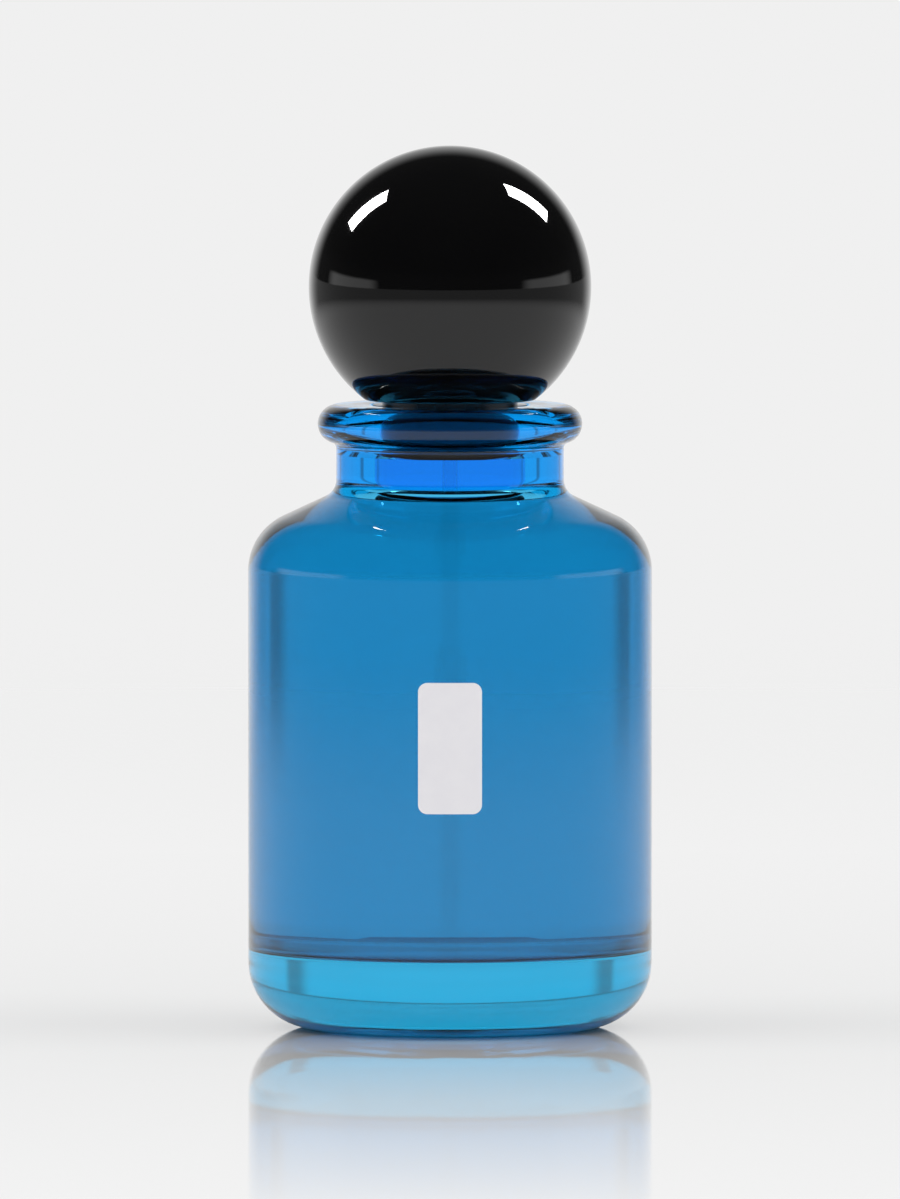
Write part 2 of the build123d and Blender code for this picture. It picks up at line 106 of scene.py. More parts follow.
class Bench:
    """A node tree in the making, with short calls for the nodes that finishes share."""

    def __init__(self, tree: bpy.types.NodeTree) -> None:
        """Work on a node tree.

        Args:
            tree: The tree that the nodes go in.
        """
        self.tree = tree

    def node(self, kind: str, **settings: object) -> bpy.types.Node:
        """Add a node.

        Args:
            kind: The node's type, such as ShaderNodeMath.
            **settings: Attributes to set on it.

        Returns:
            The new node.
        """
        node = self.tree.nodes.new(kind)
        for name, value in settings.items():
            setattr(node, name, value)
        return node

    def link(self, source: bpy.types.NodeSocket, target: bpy.types.NodeSocket) -> None:
        """Join two sockets."""
        self.tree.links.new(source, target)

    def place(self) -> bpy.types.NodeSocket:
        """Give the surface point in the object's own space."""
        return self.node("ShaderNodeTexCoord").outputs["Object"]

    def math(self, operation: str, first: object, second: object = 0.0) -> bpy.types.NodeSocket:
        """Combine two numbers or sockets.

        Args:
            operation: A Math node operation.
            first: A socket or a number.
            second: A socket or a number.

        Returns:
            The result's socket.
        """
        node = self.node("ShaderNodeMath", operation=operation)
        for socket, value in zip(node.inputs, (first, second)):
            if isinstance(value, bpy.types.NodeSocket):
                self.link(value, socket)
            else:
                socket.default_value = value
        return node.outputs[0]

    def spread(
        self, value: bpy.types.NodeSocket, low: Point, high: Point, smooth: bool = True
    ) -> bpy.types.NodeSocket:
        """Map a number from one range to another.

        Args:
            value: The socket to map.
            low: The lower input and what it becomes.
            high: The upper input and what it becomes.
            smooth: Ease the ends.

        Returns:
            The mapped socket.
        """
        node = self.node("ShaderNodeMapRange")
        node.interpolation_type = "SMOOTHSTEP" if smooth else "LINEAR"
        self.link(value, node.inputs["Value"])
        node.inputs["From Min"].default_value = low[0]
        node.inputs["From Max"].default_value = high[0]
        node.inputs["To Min"].default_value = low[1]
        node.inputs["To Max"].default_value = high[1]
        return node.outputs["Result"]

    def noise(self, grain: float, detail: float = 3.0, stretch: Colour = (1, 1, 1)) -> bpy.types.NodeSocket:
        """Add a noise of a real grain size.

        Args:
            grain: The size of one patch of the noise, in metres.
            detail: Octaves.
            stretch: Scale of the noise along each axis.

        Returns:
            The noise's value, from 0 to 1.
        """
        mapping = self.node("ShaderNodeMapping")
        mapping.inputs["Scale"].default_value = stretch
        self.link(self.place(), mapping.inputs["Vector"])
        node = self.node("ShaderNodeTexNoise")
        node.inputs["Scale"].default_value = 1 / grain
        node.inputs["Detail"].default_value = detail
        self.link(mapping.outputs["Vector"], node.inputs["Vector"])
        return node.outputs["Fac"]

    def either(
        self, flag: bpy.types.NodeSocket, otherwise: object, value: object
    ) -> bpy.types.NodeSocket:
        """Take one number where a flag is set, and another where it isn't.

        Args:
            flag: The flag's socket, 0 or 1.
            otherwise: The number or socket without the flag.
            value: The number or socket with it.

        Returns:
            The chosen number's socket.
        """
        mix = self.node("ShaderNodeMix", data_type="FLOAT")
        self.link(flag, mix.inputs["Factor"])
        for socket, item in ((mix.inputs["A"], otherwise), (mix.inputs["B"], value)):
            if isinstance(item, bpy.types.NodeSocket):
                self.link(item, socket)
            else:
                socket.default_value = item
        return mix.outputs["Result"]


class SurfaceBench(Bench):
    """A material in the making, with one Principled shader."""

    def __init__(self, name: str) -> None:
        """Start a material.

        Args:
            name: The material's name.
        """
        self.material = bpy.data.materials.new(name)
        self.material.use_nodes = True
        super().__init__(self.material.node_tree)
        self.shader = self.tree.nodes["Principled BSDF"]
        self.output = self.tree.nodes["Material Output"]

    def set(self, **values: object) -> None:
        """Set constants on the shader's own sockets.

        Args:
            **values: Socket names with underscores for spaces, and their values.
        """
        for name, value in values.items():
            self.shader.inputs[name.replace("_", " ")].default_value = value

    def bump(self, height: bpy.types.NodeSocket, depth: float, strength: float = 1.0) -> None:
        """Raise the surface by a height pattern.

        Args:
            height: The pattern, from 0 to 1.
            depth: The real height of the pattern, in metres.
            strength: Share of that height that shows.
        """
        node = self.node("ShaderNodeBump")
        node.inputs["Distance"].default_value = depth
        node.inputs["Strength"].default_value = strength
        self.link(height, node.inputs["Height"])
        self.link(node.outputs["Normal"], self.shader.inputs["Normal"])

    def roughness(self, pattern: bpy.types.NodeSocket, low: float, high: float) -> None:
        """Vary the roughness between two values by a pattern."""
        self.link(self.spread(pattern, (0.3, low), (0.7, high)), self.shader.inputs["Roughness"])

    def tint(self, pattern: bpy.types.NodeSocket, first: Colour, second: Colour) -> None:
        """Vary the base colour between two colours by a pattern."""
        ramp = self.node("ShaderNodeValToRGB")
        ramp.color_ramp.elements[0].position = 0.35
        ramp.color_ramp.elements[0].color = (*first, 1)
        ramp.color_ramp.elements[1].position = 0.65
        ramp.color_ramp.elements[1].color = (*second, 1)
        self.link(pattern, ramp.inputs["Fac"])
        self.link(ramp.outputs["Color"], self.shader.inputs["Base Color"])


# ---- Finishes ------------------------------------------------------------------------------


@dataclass(frozen=True)
class TintedGlass:
    """Glass with a transparent lacquer: each crossing of it filters the light."""

    name: str
    colour: Colour
    second_colour: Colour
    ior: float = 1.5
    ripple_grain: float = 9 * MM
    ripple_depth: float = 0.012 * MM
    roughness_range: Point = (0.0, 0.012)

    def material(self) -> bpy.types.Material:
        """Build the node material."""
        bench = SurfaceBench(self.name)
        bench.set(Transmission_Weight=1.0, IOR=self.ior, Metallic=0.0)
        drift = bench.noise(self.ripple_grain * 2, 1.0, (1, 1, 0.4))
        bench.tint(drift, self.colour, self.second_colour)
        ripple = bench.noise(self.ripple_grain, 1.0, (1, 1, 0.5))
        bench.roughness(bench.noise(self.ripple_grain / 6), *self.roughness_range)
        bench.bump(ripple, self.ripple_depth)
        return bench.material


@dataclass(frozen=True)
class FloorPaintedShadeGlass:
    """The face of the glass floor under the perfume, tinted deeper blue as painted shade for the dark line
    at the foot of the perfume.
    """

    name: str = "inner_floor_painted_shade"
    colour: Colour = (0.05, 0.1, 0.2)
    second_colour: Colour = (0.07, 0.13, 0.24)
    ior: float = 1.5

    def material(self) -> bpy.types.Material:
        """Build the node material."""
        bench = SurfaceBench(self.name)
        bench.set(IOR=self.ior, Transmission_Weight=1.0)
        bench.tint(bench.noise(9 * MM, 1.0), self.colour, self.second_colour)
        bench.roughness(bench.noise(3 * MM), 0.005, 0.02)
        bench.bump(bench.noise(6 * MM, 1.0), 0.02 * MM)
        return bench.material


@dataclass(frozen=True)
class Moulded:
    """Moulded plastic, rubber or lacquer: colour drift, fine grain and slight waviness."""

    name: str
    colour: Colour
    second_colour: Colour
    roughness_range: Point = (0.05, 0.09)
    grain: float = 0.35 * MM
    grain_depth: float = 0.0008 * MM
    ior: float = 1.5
    see_through: float = 0.0

    def material(self) -> bpy.types.Material:
        """Build the node material."""
        bench = SurfaceBench(self.name)
        bench.set(IOR=self.ior, Transmission_Weight=self.see_through)
        bench.tint(bench.noise(self.grain * 30, 2.0), self.colour, self.second_colour)
        bench.roughness(bench.noise(self.grain * 12), *self.roughness_range)
        bench.bump(bench.noise(self.grain, 4.0), self.grain_depth)
        return bench.material


@dataclass(frozen=True)
class Metal:
    """Drawn or turned metal: brushed rings round the axis and slight stains."""

    name: str
    colour: Colour
    second_colour: Colour
    roughness_range: Point = (0.18, 0.32)
    ring_pitch: float = 0.12 * MM
    ring_depth: float = 0.0006 * MM
    metallic: float = 1.0

    def material(self) -> bpy.types.Material:
        """Build the node material."""
        bench = SurfaceBench(self.name)
        bench.set(Metallic=self.metallic)
        bench.tint(bench.noise(3 * MM, 2.0), self.colour, self.second_colour)
        rings = bench.noise(self.ring_pitch, 2.0, (0.03, 0.03, 1))
        bench.roughness(rings, *self.roughness_range)
        bench.bump(rings, self.ring_depth)
        return bench.material


@dataclass(frozen=True)
class PrintedInk:
    """Screen-printed ceramic ink: matte, with fine mesh grain and faint pinholes."""

    name: str = "label_ink"
    colour: Colour = (0.94, 0.925, 0.965)
    second_colour: Colour = (0.965, 0.95, 0.985)
    mesh_pitch: float = 0.16 * MM
    mesh_depth: float = 0.006 * MM

    def material(self) -> bpy.types.Material:
        """Build the node material."""
        bench = SurfaceBench(self.name)
        bench.tint(bench.noise(2.4 * MM, 3.0), self.colour, self.second_colour)
        bench.roughness(bench.noise(0.6 * MM), 0.38, 0.55)
        bench.bump(bench.noise(self.mesh_pitch, 2.0), self.mesh_depth, 0.6)
        return bench.material


class Finishes:
    """The finishes of this object, each built once."""

    def __init__(self) -> None:
        """Build every material."""
        black = (0.0018, 0.0018, 0.0020)
        soot = (0.0028, 0.0028, 0.0030)
        self.lacquered_glass = TintedGlass(
            "blue_lacquered_glass", (0.008, 0.42, 0.73), (0.007, 0.41, 0.72)
        ).material()
        self.lacquered_neck = TintedGlass(
            "blue_lacquered_neck", (0.0015, 0.35, 0.96), (0.0015, 0.33, 0.95)
        ).material()
        self.clear_glass = TintedGlass(
            "clear_inner_glass", (0.96, 0.985, 0.99), (0.95, 0.98, 0.985), ripple_depth=0.02 * MM
        ).material()
        self.neck_glass = TintedGlass(
            "neck_inner_glass", (0.5, 0.62, 0.97), (0.48, 0.60, 0.95), ripple_depth=0.02 * MM
        ).material()
        # Painted shade: the inner floor's deeper blue stands for the dark line at the foot of the perfume.
        self.floor_painted_shade_glass = FloorPaintedShadeGlass().material()
        self.perfume = TintedGlass(
            "perfume_liquid",
            (0.75, 0.60, 0.78),
            (0.74, 0.59, 0.77),
            ior=1.36,
            ripple_depth=0.0,
        ).material()
        self.perfume_foot = TintedGlass(
            "perfume_foot", (0.985, 0.99, 0.995), (0.98, 0.985, 0.99), ior=1.36, ripple_depth=0.0
        ).material()
        self.label_ink = PrintedInk().material()
        self.ball_lacquer = Moulded(
            "ball_lacquer", black, soot, (0.015, 0.04), 1.1 * MM, 0.0012 * MM
        ).material()
        self.black_plastic = Moulded(
            "black_moulded_plastic", (0.006, 0.006, 0.007), (0.009, 0.009, 0.010), (0.10, 0.2)
        ).material()
        self.black_metal = Metal(
            "black_anodised_metal", (0.012, 0.012, 0.013), (0.016, 0.016, 0.018), (0.16, 0.26),
            metallic=0.0,
        ).material()
        self.rubber = Moulded(
            "seal_rubber", (0.02, 0.02, 0.021), (0.028, 0.028, 0.029), (0.55, 0.7), 0.2 * MM,
            0.003 * MM,
        ).material()
        self.clear_tube = Moulded(
            "clear_tube", (0.93, 0.96, 0.98), (0.9, 0.94, 0.97), (0.02, 0.06), ior=1.49,
            see_through=1.0,
        ).material()
        self.wetted_tube = Moulded(
            "wetted_tube", (0.998, 0.998, 0.998), (0.99, 0.99, 0.99), (0.0, 0.001), ior=1.003,
            see_through=1.0, grain_depth=0.0,
        ).material()
        self.natural_plastic = Moulded(
            "natural_plastic", (0.78, 0.78, 0.75), (0.83, 0.83, 0.81), (0.3, 0.45)
        ).material()
        self.spring_steel = Metal(
            "spring_steel", (0.55, 0.55, 0.56), (0.62, 0.62, 0.63)
        ).material()
        self.weight_steel = Metal(
            "weight_steel", (0.42, 0.42, 0.43), (0.5, 0.5, 0.51), (0.25, 0.45)
        ).material()


# ---- Turned meshes -------------------------------------------------------------------------


def arc(centre: Point, radius: float, start: float, end: float, steps: int = 12) -> list[Point]:
    """Give the points of an arc in the turning plane.

    Args:
        centre: The arc's centre, radius across and height up.
        radius: The arc's radius.
        start: First angle in degrees, from the outward direction towards up.
        end: Last angle in degrees.
        steps: Pieces of the arc.

    Returns:
        The points, both ends included.
    """
    angles = [radians(start + (end - start) * i / steps) for i in range(steps + 1)]
    return [(centre[0] + radius * cos(a), centre[1] + radius * sin(a)) for a in angles]


def eased(corners: list[tuple[float, float, float]], steps: int = 10) -> list[Point]:
    """Round the corners of a line in the turning plane.

    Args:
        corners: Radius across, height up and rounding radius of each corner. The ends stay sharp.
        steps: Pieces of each rounded corner.

    Returns:
        The points of the rounded line.
    """
    points: list[Point] = [corners[0][:2]]
    for before, here, after in zip(corners, corners[1:], corners[2:]):
        if here[2] <= 0:
            points.append(here[:2])
            continue
        corner = Vector(here[:2])
        back = (Vector(before[:2]) - corner).normalized()
        ahead = (Vector(after[:2]) - corner).normalized()
        half = back.angle(ahead) / 2
        reach = here[2] / tan(half)
        centre = corner + (back + ahead).normalized() * (here[2] / sin(half))
        first = corner + back * reach - centre
        last = corner + ahead * reach - centre
        sweep = first.angle_signed(last)
        for i in range(steps + 1):
            spoke = Matrix.Rotation(-sweep * i / steps, 2) @ first
            points.append(tuple(centre + spoke))
    points.append(corners[-1][:2])
    return points


def divided(points: list[Point], longest: float) -> list[Point]:
    """Split long runs of a line, so that a turned face stays near square."""
    result = [points[0]]
    for start, end in zip(points, points[1:]):
        length = sqrt((end[0] - start[0]) ** 2 + (end[1] - start[1]) ** 2)
        count = max(1, int(length / longest + 0.999))
        for i in range(1, count + 1):
            share = i / count
            result.append((start[0] + (end[0] - start[0]) * share, start[1] + (end[1] - start[1]) * share))
    return result


def turned(
    name: str,
    bands: list[tuple[list[Point], int]],
    materials: list[bpy.types.Material],
    closed: bool = False,
    steps: int = TURN_STEPS,
    sharp: float = 32.0,
) -> bpy.types.Object:
    """Turn an outline about the Z axis into a closed mesh.

    Args:
        name: The object's name.
        bands: Stretches of the outline, each with its material's index. Each starts where the
            one before it ends. An outline runs from the axis to the axis, unless it is closed.
        materials: The object's materials.
        closed: The outline is a loop that stays off the axis.
        steps: Faces round the axis.
        sharp: Edges that turn by more than this many degrees stay sharp.

    Returns:
        The new object.
    """
    outline: list[Point] = []
    band_of: list[int] = []
    for points, index in bands:
        for point in points:
            if outline and (Vector(point) - Vector(outline[-1])).length < 1e-7:
                continue
            if outline:
                band_of.append(index)
            outline.append(point)
    if closed:
        if (Vector(outline[0]) - Vector(outline[-1])).length < 1e-7:
            outline.pop()
        else:
            band_of.append(bands[-1][1])
    vertices: list[tuple[float, float, float]] = []
    rings: list[list[int]] = []
    for radius, height in outline:
        if radius < 1e-9:
            rings.append([len(vertices)])
            vertices.append((0, 0, height))
            continue
        rings.append(list(range(len(vertices), len(vertices) + steps)))
        for i in range(steps):
            turn = 2 * pi * i / steps
            vertices.append((radius * cos(turn), radius * sin(turn), height))
    faces: list[tuple[int, ...]] = []
    face_bands: list[int] = []
    pairs = list(zip(rings, rings[1:]))
    if closed:
        pairs.append((rings[-1], rings[0]))
    for (low, high), band in zip(pairs, band_of):
        for i in range(steps):
            j = (i + 1) % steps
            if len(low) == 1 and len(high) == 1:
                continue
            if len(low) == 1:
                faces.append((low[0], high[j], high[i]))
            elif len(high) == 1:
                faces.append((low[i], low[j], high[0]))
            else:
                faces.append((low[i], low[j], high[j], high[i]))
            face_bands.append(band)
    return solid(name, vertices, faces, materials, face_bands, sharp)


def solid(
    name: str,
    vertices: list[tuple[float, float, float]],
    faces: list[tuple[int, ...]],
    materials: list[bpy.types.Material],
    face_bands: list[int] | None = None,
    sharp: float = 32.0,
) -> bpy.types.Object:
    """Make an object from vertices and faces, with outward faces and smooth shading.

    Args:
        name: The object's name.
        vertices: Places of the vertices.
        faces: Vertex numbers of each face.
        materials: The object's materials.
        face_bands: Each face's material index.
        sharp: Edges that turn by more than this many degrees stay sharp.

    Returns:
        The new object.
    """
    mesh = bpy.data.meshes.new(name)
    mesh.from_pydata(vertices, [], faces)
    for material in materials:
        mesh.materials.append(material)
    if face_bands:
        mesh.polygons.foreach_set("material_index", face_bands)
    if mesh_volume(mesh) < 0:
        mesh.flip_normals()
    mesh.polygons.foreach_set("use_smooth", [True] * len(mesh.polygons))
    mesh.set_sharp_from_angle(angle=radians(sharp))
    mesh.update()
    piece = bpy.data.objects.new(name, mesh)
    bpy.context.scene.collection.objects.link(piece)
    return piece


def mesh_volume(mesh: bpy.types.Mesh) -> float:
    """Give a closed mesh's signed volume: negative where its faces point inwards."""
    total = 0.0
    for face in mesh.polygons:
        corners = [mesh.vertices[i].co for i in face.vertices]
        for second, third in zip(corners[1:], corners[2:]):
            total += corners[0].dot(second.cross(third))
    return total / 6


def radius_of(node: str) -> float:
    """Give the outer radius of a turned CAD node."""
    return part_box(node)[1].x


def span_of(node: str) -> Point:
    """Give the lowest and highest height of a CAD node."""
    low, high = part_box(node)
    return low.z, high.z


def settle(piece: bpy.types.Object, body: Body, slot: Slot, *nodes: str) -> None:
    """Tie a finished piece to its body and hide the CAD nodes it stands for."""
    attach(piece, body.value)
    if nodes:
        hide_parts(*nodes)
    LOG.info("%s: %d faces, rides on %s", piece.name, len(piece.data.polygons), body.value)


# ---- Bottle --------------------------------------------------------------------------------


@dataclass
class GlassBottle:
    """The glass with its perfume and its printed label."""

    finishes: Finishes
    wall: float = 1.8 * MM
    wall_corner_height: float = 64.47 * MM
    slope: float = 25.0
    base_corner: float = 8.6 * MM
    shoulder_corner: float = 7.8 * MM
    base_thickness: float = 10.0 * MM
    floor_corner: float = 3.0 * MM
    recess_radius: float = 13.5 * MM
    recess_depth: float = 0.8 * MM
    neck_radius: float = 14.8 * MM
    neck_root: float = 2.4 * MM
    bore_radius: float = 9.8 * MM
    bore_root: float = 3.0 * MM
    lip_overhang: float = 2.4 * MM
    lip_bead: float = 2.5 * MM
    lip_fillet: float = 0.8 * MM
    mouth_edge: float = 0.5 * MM
    throat_radius: float = 9.1 * MM
    throat_depth: float = 5.9 * MM
    bore_step: float = 0.7 * MM
    rebate_radius: float = 10.25 * MM
    rebate_depth: float = 1.7 * MM
    neck_height: float = 10.4 * MM
    wetting: float = 0.05 * MM
    meniscus: float = 0.5 * MM
    label_corner: float = 1.2 * MM
    radius: float = field(init=False)
    lip_top: float = field(init=False)

    def __post_init__(self) -> None:
        """Read the bottle's overall sizes from the frame."""
        self.radius = radius_of("bottle")
        self.lip_top = span_of("bottle")[1]
        self.rise = tan(radians(self.slope))
        self.half_corner = tan(radians((90 - self.slope) / 2))

    def outer_line(self) -> list[Point]:
        """Give the outside of the glass, from the middle of the base to the lip's top."""
        recess = [
            (self.recess_radius * sin(radians(9 * i)), self.recess_depth * (1 - sin(radians(9 * i)) ** 2))
            for i in range(11)
        ]
        neck_corner = self.wall_corner_height + (self.radius - self.neck_radius) * self.rise
        bead_radius = self.neck_radius + self.lip_overhang - self.lip_bead
        bead_height = self.lip_top - self.lip_bead
        reach = self.lip_bead + self.lip_fillet
        offset = self.neck_radius + self.lip_fillet - bead_radius
        fillet_height = bead_height - sqrt(reach**2 - offset**2)
        body = eased(
            [
                (self.recess_radius, 0, 0),
                (self.radius, 0, self.base_corner),
                (self.radius, self.wall_corner_height, self.shoulder_corner),
                (self.neck_radius, neck_corner, self.neck_root),
                (self.neck_radius, fillet_height, 0),
            ],
            steps=18,
        )
        lean = degrees(asin(offset / reach)) - 90
        fillet_centre = (self.neck_radius + self.lip_fillet, fillet_height)
        fillet = arc(fillet_centre, self.lip_fillet, 180, 180 + lean, 8)
        bead = arc((bead_radius, bead_height), self.lip_bead, lean, 90, 30)
        return recess + body[1:] + fillet[1:-1] + bead

    def inner_line(self, gap: float = 0.0) -> list[Point]:
        """Give the inside below the plug, from the throat down to the middle of the floor.

        Args:
            gap: How far the line lies inside the cavity. A negative gap lies in the glass.

        Returns:
            The line's points.
        """
        wall = self.radius - self.wall - gap
        bore = self.bore_radius - gap
        corner = self.wall_corner_height - (self.wall + gap) * self.half_corner
        throat_bottom = self.lip_top - self.throat_depth
        floor = self.base_thickness + gap
        return eased(
            [
                (self.throat_radius - gap, throat_bottom, 0),
                (bore, throat_bottom - self.bore_step, 0),
                (bore, corner + (wall - bore) * self.rise, self.bore_root),
                (wall, corner, self.shoulder_corner - self.wall),
                (wall, floor, self.floor_corner),
                (0, floor, 0),
            ],
            steps=16,
        )

    def glass(self) -> bpy.types.Object:
        """Build the bottle's glass: lacquered outside, clear inside, with the inner floor tinted deeper
        blue as painted shade.
        """
        mouth = eased(
            [
                (self.neck_radius + self.lip_overhang - self.lip_bead, self.lip_top, 0),
                (self.rebate_radius, self.lip_top, self.mouth_edge),
                (self.rebate_radius, self.lip_top - self.rebate_depth, 0),
                (self.throat_radius, self.lip_top - self.rebate_depth, 0),
                (self.throat_radius, self.lip_top - self.throat_depth, 0),
            ],
            steps=6,
        )
        outside = divided(self.outer_line(), 2 * MM)
        inside = divided(self.inner_line(), 2 * MM)
        root = self.lip_top - self.neck_height
        bore = [p for p in inside if p[1] > root]
        wall = [p for p in inside if self.base_thickness + 0.4 * MM < p[1] <= root]
        neck_side = [p for p in outside if p[1] > root and p[0] < self.radius / 1.5]
        body_side = outside[: len(outside) - len(neck_side) + 1]
        # The inner floor band takes the deeper blue of painted shade.
        under = [p for p in inside if p[1] <= self.base_thickness + 0.4 * MM]
        finishes = self.finishes
        bands = [
            (body_side, 0),
            (neck_side, 4),
            (divided(mouth, 2 * MM) + bore, 1),
            (wall, 2),
            (under, 3),
        ]
        materials = [
            finishes.lacquered_glass,
            finishes.neck_glass,
            finishes.clear_glass,
            finishes.floor_painted_shade_glass,
            finishes.lacquered_neck,
        ]
        piece = turned("bottle_glass", bands, materials)
        settle(piece, Body.BOTTLE, Slot.BLUE_GLASS, "bottle")
        return piece

    def liquid(self) -> bpy.types.Object:
        """Build the perfume, wetting the glass and creeping up it in a small meniscus."""
        level = span_of("perfume")[1]
        lining = divided(self.inner_line(-self.wetting), 0.4 * MM)
        wet = [p for p in lining if p[1] < level + self.meniscus]
        rim = wet[0]
        steps = 8
        climb = [
            (rim[0] - self.meniscus * i / steps, level + (rim[1] - level) * (1 - i / steps) ** 2)
            for i in range(steps, 0, -1)
        ]
        surface = divided([(0, level), climb[0]], 2 * MM) + climb[1:]
        side = [p for p in wet if p[1] > self.base_thickness + 0.4 * MM]
        foot = [p for p in wet if p[1] <= self.base_thickness + 0.4 * MM]
        materials = [self.finishes.perfume, self.finishes.perfume_foot]
        piece = turned("perfume_fill", [(surface + side, 0), (foot, 1)], materials)
        settle(piece, Body.BOTTLE, Slot.PERFUME, "perfume")
        return piece

    def label(self) -> bpy.types.Object:
        """Build the plain printed panel that wraps the front of the glass."""
        low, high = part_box("front_label")
        outer = -low.y
        inner = outer - 0.15 * MM
        half_angle = high.x / outer
        centre = (low.z + high.z) / 2
        half_height = (high.z - low.z) / 2
        half_width = half_angle * outer
        columns = 48
        rows = 40
        vertices: list[tuple[float, float, float]] = []
        for radius in (outer, inner):
            for i in range(columns + 1):
                share = -cos(pi * i / columns)
                across = half_width * share
                past = max(0.0, abs(across) - (half_width - self.label_corner))
                drop = self.label_corner - sqrt(max(0.0, self.label_corner**2 - past**2))
                reach = half_height - drop
                angle = across / outer
                for j in range(rows + 1):
                    up = centre + reach * (2 * j / rows - 1)
                    vertices.append((radius * sin(angle), -radius * cos(angle), up))
        layer = (columns + 1) * (rows + 1)
        faces: list[tuple[int, ...]] = []
        for i in range(columns):
            for j in range(rows):
                a = i * (rows + 1) + j
                b = a + rows + 1
                faces.append((a, b, b + 1, a + 1))
                faces.append((layer + a, layer + a + 1, layer + b + 1, layer + b))
            low_a, low_b = i * (rows + 1), (i + 1) * (rows + 1)
            faces.append((low_a, layer + low_a, layer + low_b, low_b))
            top_a, top_b = low_a + rows, low_b + rows
            faces.append((top_a, top_b, layer + top_b, layer + top_a))
        for j in range(rows):
            last = columns * (rows + 1) + j
            faces.append((j, j + 1, layer + j + 1, layer + j))
            faces.append((last, layer + last, layer + last + 1, last + 1))
        piece = solid("label_panel", vertices, faces, [self.finishes.label_ink])
        settle(piece, Body.BOTTLE, Slot.LABEL, "front_label")
        return piece

    def build(self) -> None:
        """Build the glass, the perfume and the label."""
        self.glass()
        self.liquid()
        self.label()


# ---- Pump ----------------------------------------------------------------------------------


@dataclass
class SprayPump:
    """The plug, pump, collar and actuator in the bottle's mouth."""

    finishes: Finishes
    press_travel: float = 4.0 * MM
    spring_wire: float = 0.3 * MM
    spring_turns: int = 6
    tube_wall: float = 0.33 * MM

    def dip_tube(self) -> None:
        """Build the dip tube: clear in the air of the neck, unseen where the perfume wets it."""
        low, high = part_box("dip_tube")
        level = span_of("perfume")[1]
        radius = high.x
        bore = radius - self.tube_wall
        dry = [(bore, level), (bore, high.z), (radius, high.z), (radius, level)]
        wet = [(radius, level), (radius, low.z), (bore, low.z), (bore, level)]
        piece = turned(
            "dip_tube_clear",
            [(divided(dry, 2 * MM), 0), (divided(wet, 3 * MM), 1)],
            [self.finishes.clear_tube, self.finishes.wetted_tube],
            closed=True,
            steps=64,
        )
        settle(piece, Body.BOTTLE, Slot.CLEAR_PLASTIC, "dip_tube")

    def spring(self) -> None:
        """Build the return spring at its rest length; the real spring shortens as the actuator goes down.
        """
        low, high = span_of("return_spring")
        coil = radius_of("return_spring") - self.spring_wire
        start = low + self.spring_wire
        height = high - self.spring_wire - start
        per_turn = 48
        around = 12
        count = self.spring_turns * per_turn
        vertices: list[tuple[float, float, float]] = []
        for i in range(count + 1):
            turn = 2 * pi * i / per_turn
            for j in range(around):
                lean = 2 * pi * j / around
                reach = coil + self.spring_wire * cos(lean)
                up = start + height * i / count + self.spring_wire * sin(lean)
                vertices.append((reach * cos(turn), reach * sin(turn), up))
        faces: list[tuple[int, ...]] = []
        for i in range(count):
            for j in range(around):
                k = (j + 1) % around
                a, b = i * around, (i + 1) * around
                faces.append((a + j, b + j, b + k, a + k))
        faces.append(tuple(range(around)))
        faces.append(tuple(count * around + j for j in reversed(range(around))))
        piece = solid("return_spring_wire", vertices, faces, [self.finishes.spring_steel])
        settle(piece, Body.BOTTLE, Slot.SPRING_STEEL, "return_spring")
        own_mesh(piece)

    def dress_frame_pieces(self, nodes: dict[str, bpy.types.Object]) -> None:
        """Give the CAD nodes that stay their finishes.

        Args:
            nodes: The frame's node objects by name.
        """
        finish = self.finishes
        dressed = {
            "mouth_gasket": finish.rubber,
            "neck_plug": finish.black_plastic,
            "plug_o_ring": finish.rubber,
            "pump_housing": finish.black_plastic,
            "ball_retainer": finish.natural_plastic,
            "inlet_ball": finish.spring_steel,
            "housing_gasket": finish.rubber,
            "pump_turret": finish.black_plastic,
            "stem_seal": finish.rubber,
            "piston": finish.natural_plastic,
            "stem": finish.natural_plastic,
            "stem_foot": finish.natural_plastic,
            "actuator_core": finish.black_plastic,
            "actuator_shell": finish.black_metal,
            "nozzle_insert": finish.black_plastic,
            "collar": finish.black_metal,
            "cap_liner": finish.black_plastic,
            "cap_grip_ring": finish.rubber,
            "cap_weight": finish.weight_steel,
        }
        for name, material in dressed.items():
            mesh = nodes[name].data
            mesh.materials.clear()
            mesh.materials.append(material)
            LOG.info("%s: dressed in %s", name, material.name)

    def build(self, nodes: dict[str, bpy.types.Object]) -> None:
        """Build the pump's own meshes and dress the rest."""
        self.dip_tube()
        self.spring()
        self.dress_frame_pieces(nodes)


# ---- Ball cap ------------------------------------------------------------------------------


